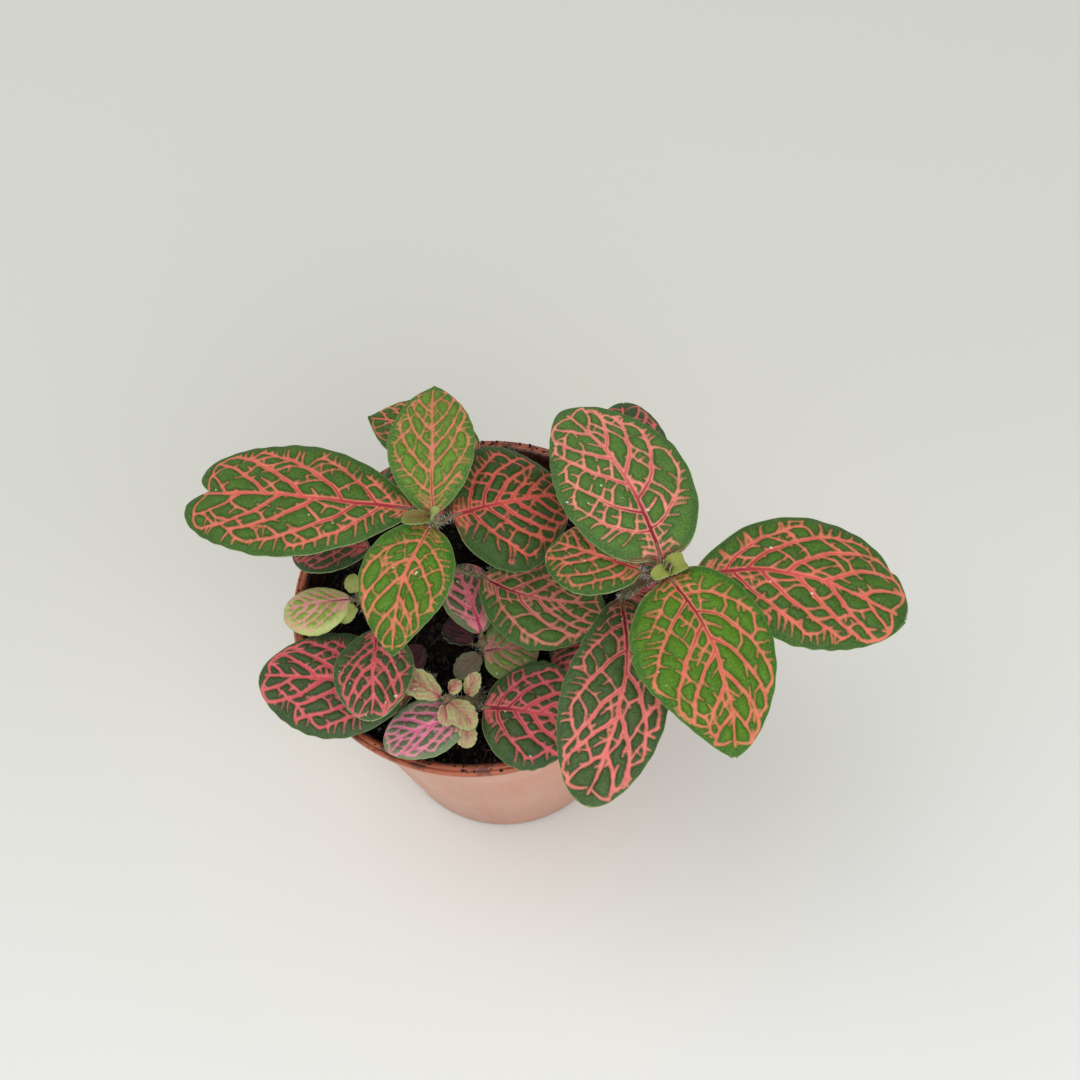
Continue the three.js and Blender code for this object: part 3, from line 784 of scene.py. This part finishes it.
# short veins that run from the outermost ones towards the margin
def marginSpurs(leaf, length, side, laterals, loops, rng, size, add):
    outer = laterals + loops
    every = np.concatenate(outer)
    spurs = []
    for path in outer:
        for k in range(int(runOf(path) * 1.3)):
            f = rng.random()
            root, way = pointAt(path, f), wayAt(path, f)
            outward = np.array([-abs(way[1]), side * abs(way[0])]) + way * rng.uniform(0.3, 0.8)
            outward /= np.linalg.norm(outward)
            line = root + outward * np.arange(0.3, 9, 0.3)[:, None]
            within = np.abs(line[:, 1]) < halfWidth(leaf, line[:, 0] / length) * (1 + leaf["skew"] * side)
            room = 0.3 * int(np.argmin(within & (line[:, 0] > 0)))
            others = every[np.linalg.norm(every - root, axis=1) > 1.2]
            gaps = np.linalg.norm(line[2:max(int(room / 0.3), 3), None] - others[None], axis=2)
            crowded = any(np.linalg.norm(root - spur[0]) < growth["spurGap"] for spur in spurs)
            room -= growth["band"] * min(size, 1) * rng.uniform(0.7, 1.2)
            reach = min(room, rng.uniform(*growth["spurReach"]))
            if crowded or reach < 0.5 or gaps.min() < growth["spurRoom"]:
                continue
            sway = np.array([-outward[1], outward[0]]) * rng.uniform(-0.16, 0.16) * reach
            spurs.append(bend(root, root + outward * reach * 0.5 + sway, root + outward * reach, 6))
            add(spurs[-1], *widths["spur"])
    spurs.sort(key=lambda spur: spur[-1][0])
    for one, two in zip(spurs, spurs[1:]):
        gap = np.linalg.norm(one[-1] - two[-1])
        if 0.9 < gap < 3.2 and rng.random() < 0.05:
            a, b = pointAt(one, rng.uniform(0.7, 0.95)), pointAt(two, rng.uniform(0.7, 0.95))
            add(bend(a, (a + b) / 2 + np.array([0, side]) * 0.3, b, 5), *widths["closing"])


# links between neighbouring side veins, some broken, some with a blind spur
def crossLinks(leaf, length, side, laterals, rng, add):
    for one, two in zip(laterals, laterals[1:]):
        count = max(int(runOf(one) / rng.uniform(*growth["linkEvery"])), 1)
        for k in range(count):
            f = (k + 0.75 + rng.uniform(-0.25, 0.25)) / (count + 0.5)
            a = pointAt(one, f)
            target = a + (two[0] - one[0]) * rng.uniform(0.1, 0.8)
            nearest = int(np.argmin(((two - target) ** 2).sum(1)))
            b = two[nearest]
            gap = np.linalg.norm(b - a)
            if gap < 1.5 or f > 0.96 or nearest == 0:
                continue
            across = (b - a) / gap
            out = np.array([-across[1], across[0]])
            kink = (a + b) / 2 + out * gap * rng.uniform(-0.16, 0.16)
            if rng.random() < 0.28:
                turn = a + across * gap * 0.25 + out * 0.3
                add(bend(a, turn, a + across * gap * 0.4, 4), *widths["broken"])
                add(bend(b, b - across * gap * 0.2, b - across * gap * 0.32, 4), *widths["broken"])
                continue
            link = [a, (a + kink) / 2 + out * 0.1, kink, (b + kink) / 2 - out * 0.1, b]
            add(link, rng.uniform(0.4, 0.58), 0.42)
            if gap > 2.6 and rng.random() < 0.75:
                reach = min(gap * rng.uniform(0.25, 0.42), 1.9) * rng.choice((-1, 1))
                end = kink + out * reach + across * rng.uniform(-0.4, 0.4)
                add(bend(kink, kink + out * reach * 0.6, end, 4), *widths["blind"])
        gap = two[0][0] - one[0][0]
        if gap > 4.6 and rng.random() < 0.5:
            start = (one[0][0] + gap * rng.uniform(0.4, 0.6)) / length
            path = sideVein(leaf, length, start, side, rng, growth["reach"] * rng.uniform(0.16, 0.4))
            if len(path) > 2:
                add(path, *widths["late"])


def strokeDistance(points, path, half):
    a, run = path[:-1], path[1:] - path[:-1]
    offset = points[:, None, :] - a[None]
    f = np.clip((offset * run[None]).sum(2) / np.maximum((run ** 2).sum(1), 1e-9), 0, 1)
    gap = np.linalg.norm(offset - f[..., None] * run[None], axis=2)
    return (gap - (half[:-1] + (half[1:] - half[:-1]) * f)).min(1)


# distance to the nearest vein's edge, below 0 inside it, and the same for the main veins alone
def veinDistance(points, veins):
    far, blend = growth["far"], growth["blend"]
    total = np.full(len(points), math.exp(-far / blend))
    main = np.full(len(points), far)
    for vein in veins:
        low, high = vein["path"].min(0) - 2, vein["path"].max(0) + 2
        near = np.nonzero(((points > low) & (points < high)).all(1))[0]
        if len(near) == 0:
            continue
        best = strokeDistance(points[near], vein["path"], vein["half"])
        total[near] += np.exp(-best / blend)
        if vein["main"]:
            main[near] = np.minimum(main[near], best)
    return np.minimum(-blend * np.log(total), far), main


# the blade's form, millimetres: its outline is the solid's, and its relief is finer
blade = {
    "veinReach": 0.16, "lean": 1.3, "thickness": 0.42, "lift": 0.02, "spacing": 0.31,
    "puff": 0.5, "puffAt": 0.6, "swell": 0.62, "swellAt": 2.0, "wave": 0.4,
    "sunken": 0.12, "drift": 0.13, "driftSize": 1.1, "sway": 0.6, "swaySize": 9,
}

# noise vectors repeat from run to run only after this call
noise.seed_set(7)


def unit(v):
    return v / np.linalg.norm(v)


def bladeFrame(leaf):
    base = np.array(leaf["base"], float)
    chord = np.array(leaf["tip"], float) - base
    length = np.linalg.norm(chord)
    along = chord / length
    side = unit(np.cross(along, (0, 0, 1)))
    up = np.cross(side, along)
    turn = math.radians(leaf["roll"])
    side = side * math.cos(turn) + up * math.sin(turn)
    return base, along, side, np.cross(side, along), length


def station(s, u):
    return s + blade["veinReach"] * np.sin(np.pi * s) * (1 - 0.25 * s) * np.abs(u) ** blade["lean"]


# s runs from base to tip and u from the left margin to the right; gives the plan and the place
def bladePoints(leaf, s, u, lift=None):
    base, along, side, up, length = bladeFrame(leaf)
    edgeWave = 1 + leaf["crimp"] * np.sin(2 * np.pi * s * leaf["crimps"]) * np.abs(u) ** 4
    for at, hand, depth, reach in leaf["dents"]:
        edgeWave = edgeWave - depth * np.exp(-((s - at) / reach) ** 2) * (u * hand > 0) * np.abs(u) ** 5
    across = u * halfWidth(leaf, station(s, 1.0)) * (1 + leaf["skew"] * np.sign(u)) * edgeWave
    t = station(s, u) - leaf["notch"] / length * s ** 8 * (1 - np.abs(u)) ** 2
    bow, slope = 4 * t * (1 - t), 4 * (1 - 2 * t)
    tangent = along * length + np.outer(slope * leaf["arch"], up) + np.outer(slope * leaf["sweep"], side)
    tangent /= np.linalg.norm(tangent, axis=1, keepdims=True)
    right = np.cross(tangent, up)
    right /= np.linalg.norm(right, axis=1, keepdims=True)
    normal = np.cross(right, tangent)
    raised = leaf["cup"] * (across / (leaf["width"] / 2)) ** 2
    if lift is not None:
        raised = raised + lift
    place = base + np.outer(t * length, along) + np.outer(bow * leaf["arch"], up)
    place += np.outer(bow * leaf["sweep"], side) + right * across[:, None] + normal * raised[:, None]
    return np.stack([t * length, across], 1), place


def storeValues(mesh, name, values):
    mesh.attributes.new(name, "FLOAT", "POINT").data.foreach_set("value", values.astype(np.float32))


# how far a cell has risen at a distance from its vein, 0 to 1
def rise(gap, reach):
    return 1 - np.exp(-np.maximum(gap, 0) / reach)


def unevenness(plan, size, layer):
    return np.array([noise.noise_vector(Vector((x / size, y / size, layer))) for x, y in plan])


def addLeaf(name, leaf, node, seed):
    length = bladeFrame(leaf)[4]
    spacing = blade["spacing"] * leaf["coarse"]
    columns = max(int(leaf["width"] * (1 + abs(leaf["skew"])) / spacing), 12)
    rows = max(int(length / spacing), 12)
    bm = bmesh.new()
    bmesh.ops.create_grid(bm, x_segments=columns, y_segments=rows, size=1.0)
    mesh = meshOf(name, bm)
    flat = np.empty(len(mesh.vertices) * 3)
    mesh.vertices.foreach_get("co", flat)
    flat = flat.reshape(-1, 3)
    u, s = flat[:, 0], (flat[:, 1] + 1) / 2
    plan, _ = bladePoints(leaf, s, u)
    rng = random.Random(seed)
    veins = growVeins(leaf, length, rng)
    # the plan is warped a little, so that no vein is a clean stroke
    drift = unevenness(plan, blade["driftSize"], seed * 3.7)
    slow = unevenness(plan, blade["swaySize"], seed * 1.3)
    warped = plan + drift[:, :2] * blade["drift"] + slow[:, :2] * blade["sway"]
    vein, main = veinDistance(warped, veins)
    q = np.linspace(0, 1, 50)
    sides = [(q, np.ones(50)), (np.ones(9), np.linspace(1, -1, 9)), (q[::-1], -np.ones(50))]
    rim = np.concatenate([bladePoints(leaf, *part)[0] for part in sides])
    edge = strokeDistance(plan, rim, np.zeros(len(rim)))
    puff = blade["puff"] * leaf["quilt"] * rise(vein, blade["puffAt"]) * ease(edge, 0, 1.6)
    swell = blade["swell"] * leaf["quilt"] * rise(main, blade["swellAt"]) * ease(edge, 0, 4)
    wave = slow[:, 2] * blade["wave"] * 2 * ease(np.abs(u), 0.1, 1.0) + drift[:, 2] * 0.05
    lift = blade["lift"] + puff + swell + wave - blade["sunken"] * ease(-main, 0, 0.5)
    _, place = bladePoints(leaf, s, u, lift)
    mesh.vertices.foreach_set("co", (place * mm).ravel())
    storeValues(mesh, "vein", vein)
    storeValues(mesh, "mainVein", main)
    storeValues(mesh, "edge", edge)
    storeValues(mesh, "run", np.clip(plan[:, 0] / length, 0, 1))
    piece = addPiece(name, mesh, leafLooks[leaf["look"]], node)
    body = piece.modifiers.new("thickness", "SOLIDIFY")
    body.thickness = blade["thickness"] * mm
    body.offset = -1
    body.material_offset = 1
    body.material_offset_rim = 2


# what a leaf has unless it says otherwise
plainLeaf = {"arch": 2, "sweep": 0, "roll": 0, "cup": 0, "skew": 0, "belly": 0.5, "heel": 0.7, "toe": 0.55,
             "end": 0.35, "notch": 0, "pairs": 5, "quilt": 1.0, "crimp": 0.008, "crimps": 9,
             "coarse": 1.0, "look": "mature", "dents": (), "hairs": 0.9}
smallLeaf = {**plainLeaf, "end": 0.25, "arch": 0.8, "quilt": 0.6, "crimp": 0.05, "crimps": 5,
             "coarse": 0.55, "look": "bud"}


def large(joint, base, tip, width, **more):
    return {**plainLeaf, "joint": joint, "base": base, "tip": tip, "width": width, **more}


def small(joint, base, tip, width, **more):
    return {**smallLeaf, "joint": joint, "base": base, "tip": tip, "width": width, **more}


# the shoots; of a leaf it gives the joint on the stem, the blade's base and tip, and its width
shoots = {
    "stem_left_tall": {
        "radius": 1.4,
        "path": [(-9, 4, 60), (-9, 4, 74), (-10, 6, 88), (-8.5, 3, 104), (-6, -1, 118.5)],
        "leaves": {
            "left": large((-6.8, 0.3, 113), (-10, 3, 116), (-60, 19, 110), 29, arch=3, sweep=-1, cup=-1.5,
                belly=0.55, heel=0.68, toe=0.45, end=4.4, notch=4.2, seed=12),
            "back": large((-6.2, -0.8, 117), (-6, 0.5, 118), (-3, 31, 122), 19, arch=3, belly=0.48,
                heel=0.65, toe=0.75, look="young", seed=26),
            "front": large((-6.2, -0.8, 117), (-6, -3, 118), (-17, -28, 110), 20, arch=3, sweep=1.5,
                belly=0.42, heel=0.6, toe=0.9, look="fresh", seed=26),
            "right": large((-6.8, 0.3, 113), (-2, 1, 115), (23, 8, 106), 30, arch=3, roll=-15, cup=-4,
                belly=0.46, heel=0.45, toe=0.5, look="deep", pairs=6, hairs=2.5, seed=19),
            "backLow": large((-8.4, 2.8, 104), (-8, 9, 99), (-9, 36, 91), 24, arch=3, cup=-2, look="old",
                coarse=1.2),
            "leftLow": large((-9.9, 5.8, 90), (-24, 9, 92), (-43, 14, 87), 15, look="old"),
            "rightLow": large((-9.9, 5.8, 90), (2, -2, 92), (29, -10, 88), 24, arch=1, sweep=3, cup=-2,
                look="pale"),
            "budLeft": small((-6, -1, 118), (-6.2, -1.8, 119.5), (-12, -2.5, 121), 3.6, look="olive"),
            "budRight": small((-6, -1, 118), (-5.8, -1.6, 119), (-4, -2, 122.5), 2.4, look="sprout"),
        },
    },
    "stem_right_tall": {
        "radius": 1.4,
        "path": [(30, -14, 60), (30, -14, 74), (31, -15, 90), (34, -16, 103), (41, -20, 118.5)],
        "leaves": {
            "back": large((40.4, -19.7, 117), (40, -18, 119), (24, 24, 116), 28, arch=3, sweep=3,
                skew=-0.08, belly=0.42, heel=0.5, toe=0.62, look="pale", seed=19),
            "right": large((38.6, -18.6, 113), (47, -21, 116), (87, -35, 112), 30, arch=4, sweep=-3,
                cup=-2, belly=0.53, heel=0.68, toe=0.5, seed=8,
                dents=((0.8, -1, 0.1, 0.035), (0.86, -1, -0.04, 0.04))),
            "left": large((38.6, -18.6, 113), (36, -18.7, 116.4), (19, -7.3, 113), 19, sweep=-1, heel=0.6,
                toe=0.5, hairs=4, seed=12),
            "front": large((40.4, -19.7, 117), (41, -22, 119), (48, -59, 112), 28, arch=3, sweep=-3,
                skew=0.15, belly=0.42, heel=0.5, toe=0.7, look="fresh", seed=17,
                dents=((0.22, 1, 0.04, 0.015),)),
            "frontLow": large((33, -15.7, 100), (32, -18, 104), (18, -62, 104), 22, arch=3, sweep=-4,
                skew=0.12, belly=0.55, heel=0.5, toe=0.5, look="dusky", hairs=3, seed=17),
            "backLow": large((33, -15.7, 100), (37, -2, 103), (40, 36, 100), 20, look="old", coarse=1.2),
            "leftLow": large((31, -15, 87), (27, -16, 84), (17, -24, 79), 15, look="old", coarse=1.2),
            "rightLow": large((31, -15, 87), (34, -11, 90), (47, -6, 84), 16, look="old", coarse=1.2),
            "budRight": small((41, -20, 118), (40.8, -20.8, 119.4), (44.6, -19.8, 120.4), 4.6,
                look="bract", heel=0.4, toe=0.35, end=1.4, quilt=0.25),
            "budLeft": small((41, -20, 118), (41.4, -20.8, 119.6), (37.6, -22.6, 120.2), 3.2, look="bract",
                heel=0.4, toe=0.6, end=0.6, quilt=0.25),
            "budTip": small((41, -20, 118), (40.9, -21.3, 119.9), (41.6, -20.3, 120.9), 1.0, look="umber",
                quilt=0.1),
        },
    },
    "stem_front": {
        "radius": 1.1,
        "path": [(-2, -24, 60), (-2, -24, 76), (-3, -27, 80), (-6, -28.5, 84), (-9, -29, 87.5)],
        "leaves": {
            "right": large((-3, -27, 79.5), (-1, -31, 85), (21, -38, 85), 26, heel=0.5, cup=-1.5,
                look="old", seed=19),
            "leftLow": large((-3, -27, 79.5), (-4, -32, 83), (-24, -36, 82), 14, look="pink", seed=12),
            "lowFront": small((-6, -28.5, 84), (-6, -33.5, 84.5), (-5, -39, 82), 5),
            "lowBack": small((-6, -28.5, 84), (-4, -28.5, 86.5), (-1, -25, 90), 4),
            "crownLeft": small((-9, -29, 87), (-10, -28.5, 88), (-19, -22.6, 90), 6.5),
            "crownRight": small((-9, -29, 87), (-8, -30, 88), (-3, -37, 88), 6),
            "crownFront": small((-9, -29, 87), (-9, -30.5, 87.5), (-9, -35, 86), 4),
            "crownBack": small((-9, -29, 87), (-8, -28, 88), (-5, -26, 89.5), 3.5),
        },
    },
    "stem_middle": {
        "radius": 1.1,
        "path": [(1, -13, 60), (1, -13, 72), (0.5, -13.5, 78), (0, -14, 83)],
        "leaves": {
            "right": large((0.2, -13.8, 80.5), (0, -16, 82), (13, -17, 83), 17, arch=1, heel=0.4,
                look="mottled", seed=12),
            "back": large((0.1, -13.9, 82), (0, -12, 83.5), (-4, 6, 85), 13, look="rose", pairs=4,
                seed=19),
            "frontLow": small((0.5, -13.5, 78), (-1, -16, 80.5), (-7, -21, 80), 6, look="grey"),
            "backLow": small((0.5, -13.5, 78), (-3, -12, 79), (-8, -5, 79), 8, look="maroon"),
        },
    },
    "stem_left": {
        "radius": 1.1,
        "path": [(-26, -2, 60), (-26, -2, 74), (-26.5, -2, 82), (-27, -2, 89)],
        "leaves": {
            "left": large((-27, -2, 88), (-29, -2, 89), (-45, -1.5, 87.5), 12, sweep=-1, cup=-1.5,
                skew=-0.2, end=1.5, look="lime", seed=17),
            "frontLow": large((-26.6, -2, 83), (-23, -10, 88), (-25, -34, 92), 18, look="glinting", seed=17),
            "crownBack": small((-27, -2, 88.5), (-28, -1, 90), (-28, 2.5, 92.5), 4, look="sprout"),
            "crownFront": small((-27, -2, 88.5), (-28, -4, 89), (-32, -7, 87.5), 4, look="sprout"),
            "crownRight": small((-27, -2, 88.5), (-25.5, -2, 89.5), (-17, -1, 90), 6, look="lime"),
        },
    },
    "stem_front_left": {
        "radius": 1.1,
        "path": [(-13, -18, 60), (-13, -18, 75), (-14, -21, 81)],
        "leaves": {
            "left": large((-13.8, -20.5, 79.5), (-17, -25, 83), (-51, -17, 86), 26, cup=-2, look="old",
                seed=12),
            "back": small((-13.8, -20.5, 79.5), (-15, -18.5, 82), (-17, -12, 82), 6, look="maroon"),
        },
    },
    "stem_back": {
        "radius": 1.1,
        "path": [(6, 22, 60), (6, 22, 76), (6, 24, 99)],
        "leaves": {
            "left": large((6, 23.9, 98), (4, 26.5, 100), (-22, 43, 98), 18, heel=0.6, toe=1),
            "right": small((6, 23.9, 98), (8, 22.5, 98.5), (18, 16, 97), 11, look="mature"),
        },
    },
}

# stems, leaf stalks and their hairs, millimetres; hairs are so many per millimetre of stem
stalk = {
    "sides": 14, "steps": 6, "joint": 0.35, "jointLength": 1.6,
    "petioleSides": 10, "petioleSteps": 5, "petioleRadius": 0.85, "sag": 0.06,
    # where a petiole runs under the blade: shares of its length, and heights
    "under": ((0.0, -0.42), (0.1, -0.57), (0.5, -0.3)),
    "hairs": 5.5, "hairLength": (0.5, 1.5), "hairRadius": 0.055, "hairTip": 0.01,
}


def stemMaterial():
    shader = Shader("stem skin")
    streaks = shader.grain(0.002, 3.0, 0.6, (1, 1, 0.2)).ramp(0.3, 0.7)
    shade = shader.mix(streaks, paint(104, 112, 62), paint(142, 122, 92))
    flush = shader.grain(0.009, 2.0).ramp(0.42, 0.7)
    shade = shader.mix(flush * 0.6, shade, paint(122, 66, 58))
    bump = shader.bump(shader.grain(0.0004, 2.0, 0.5, (1, 1, 0.25)), 0.00008, 0.8)
    return shader.finish({"Base Color": shade, "Roughness": 0.6, "Normal": bump})


def hairMaterial():
    shader = Shader("white hairs")
    shade = shader.mix(shader.grain(0.004, 1.0), paint(222, 220, 208), paint(246, 244, 236))
    return shader.finish({"Base Color": shade, "Roughness": 0.5})


stemLooks = [stemMaterial(), hairMaterial()]


def addHairs(bm, path, radii, rng, density):
    for i in range(len(path) - 1):
        run = path[i + 1] - path[i]
        for k in range(int(run.length / mm * density + rng.random())):
            around = rng.uniform(0, 2 * math.pi)
            ahead = run.normalized()
            across = ahead.orthogonal().normalized()
            outward = across * math.cos(around) + ahead.cross(across) * math.sin(around)
            root = path[i] + run * rng.random() + outward * radii[i] * 0.9
            way = outward + ahead * rng.uniform(-0.35, 0.5)
            way += Vector([rng.uniform(-1, 1) for axis in range(3)]) * 0.2
            way.normalize()
            length = rng.uniform(*stalk["hairLength"]) * mm
            turned = way.to_track_quat("Z", "Y").to_matrix().to_4x4()
            place = Matrix.Translation(root + way * length / 2) @ turned
            made = bmesh.ops.create_cone(bm, cap_ends=False, segments=3, radius1=stalk["hairRadius"] * mm,
                                         radius2=stalk["hairTip"] * mm, depth=length, matrix=place)
            for face in {face for vert in made["verts"] for face in vert.link_faces}:
                face.material_index = 1


# a point below the blade's middle line
def underBlade(leaf, at, depth):
    return Vector(bladePoints(leaf, np.array([at]), np.zeros(1), np.array([depth]))[1][0])


def addStem(name, shoot, rng):
    bm = bmesh.new()
    hairs = bmesh.new()
    path = [p * mm for p in smoothPath(shoot["path"], stalk["steps"])]
    count = len(path)
    leaves = shoot["leaves"].values()
    joints = [Vector(leaf["joint"]) * mm for leaf in leaves]
    radii = []
    for i, point in enumerate(path):
        radius = shoot["radius"] * (1.0 - 0.3 * i / count)
        near = min((point - joint).length for joint in joints)
        radii.append((radius + stalk["joint"] * math.exp(-(near / (stalk["jointLength"] * mm)) ** 2)) * mm)
    sweep(bm, path, radii, stalk["sides"])
    above = [i for i, point in enumerate(path) if point.z > (peat["level"] - 1) * mm]
    addHairs(hairs, [path[i] for i in above], [radii[i] for i in above], rng, stalk["hairs"])
    for leaf in leaves:
        heel, inner, ahead = (underBlade(leaf, at, depth) for at, depth in stalk["under"])
        root = Vector(leaf["joint"])
        middle = root.lerp(heel, 0.55)
        middle.z -= (root - heel).length * stalk["sag"]
        thick = min(stalk["petioleRadius"], leaf["width"] * 0.05 + 0.15)
        points = [root, middle, heel, inner, inner.lerp(ahead, 0.6), ahead]
        petiole = [p * mm for p in smoothPath(points, stalk["petioleSteps"])]
        last = len(petiole) - 1
        girth = [thick * mm * (1 - 0.78 * (i / last) ** 0.8) for i in range(last + 1)]
        sweep(bm, petiole, girth, stalk["petioleSides"])
        if leaf["width"] > 5:
            addHairs(hairs, petiole[:13], girth[:13], rng, stalk["hairs"] * leaf["hairs"])
    for part, form in (("_stalk", bm), ("_hairs", hairs)):
        addPiece(name + part, meshOf(name + part, form), stemLooks, name)


seed = 20
for name, shoot in shoots.items():
    for key, leaf in shoot["leaves"].items():
        seed += 1
        addLeaf(name + "_" + key, leaf, name, leaf.get("seed", seed))
    addStem(name, shoot, random.Random(seed))
    print(name, "grown with", len(shoot["leaves"]), "leaves")
